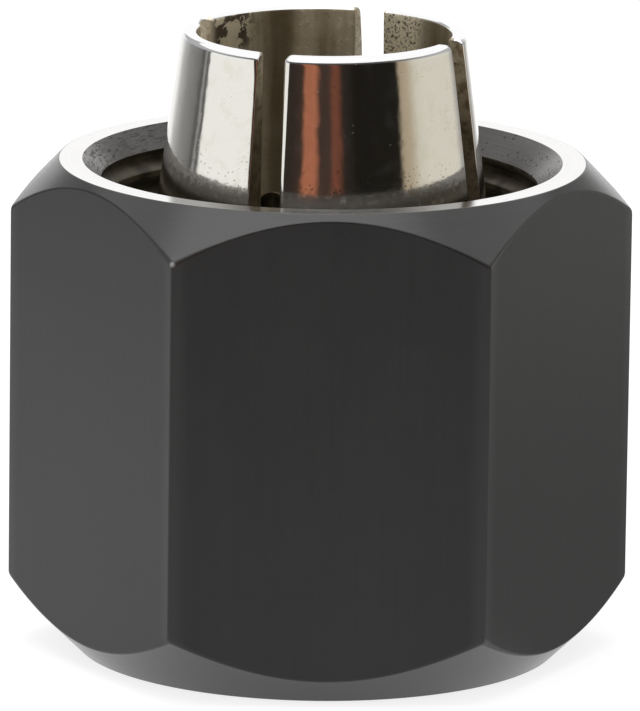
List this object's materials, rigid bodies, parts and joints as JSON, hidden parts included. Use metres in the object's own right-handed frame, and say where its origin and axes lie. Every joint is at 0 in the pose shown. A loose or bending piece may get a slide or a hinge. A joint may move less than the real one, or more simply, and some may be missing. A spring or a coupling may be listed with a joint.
{
  "type": "router collet",
  "caption": "Slotted steel collet snapped into its hexagon clamping nut, for gripping the straight shank of a router bit in a tapered spindle.",
  "frame": {"origin": "middle of the nut's front face, on which the part stands", "axes": "+Z along the collet's axis towards the tip of its taper, +Y and -Y out of two opposite wrench flats"},
  "size_m": [0.0312, 0.027, 0.0314],
  "materials": {
    "black_oxide_steel": "satin black oxide",
    "polished_spring_steel": "bright polished nickel",
    "bright_spring_wire": "bright drawn wire"
  },
  "bodies": {
    "nut": {"nut": "black_oxide_steel"},
    "retaining_ring": {"retaining_ring": "bright_spring_wire"},
    "collet": {"collet": "polished_spring_steel"}
  },
  "joints": [
    {"name": "collet_spin", "type": "hinge", "parent": "nut", "child": "retaining_ring", "pos_m": [0, 0, 0.0093], "axis": [0, 0, 1], "continuous": true},
    {"name": "collet_float", "type": "slide", "parent": "retaining_ring", "child": "collet", "axis": [0, 0, 1], "range_m": [0, 0.0008]}
  ]
}
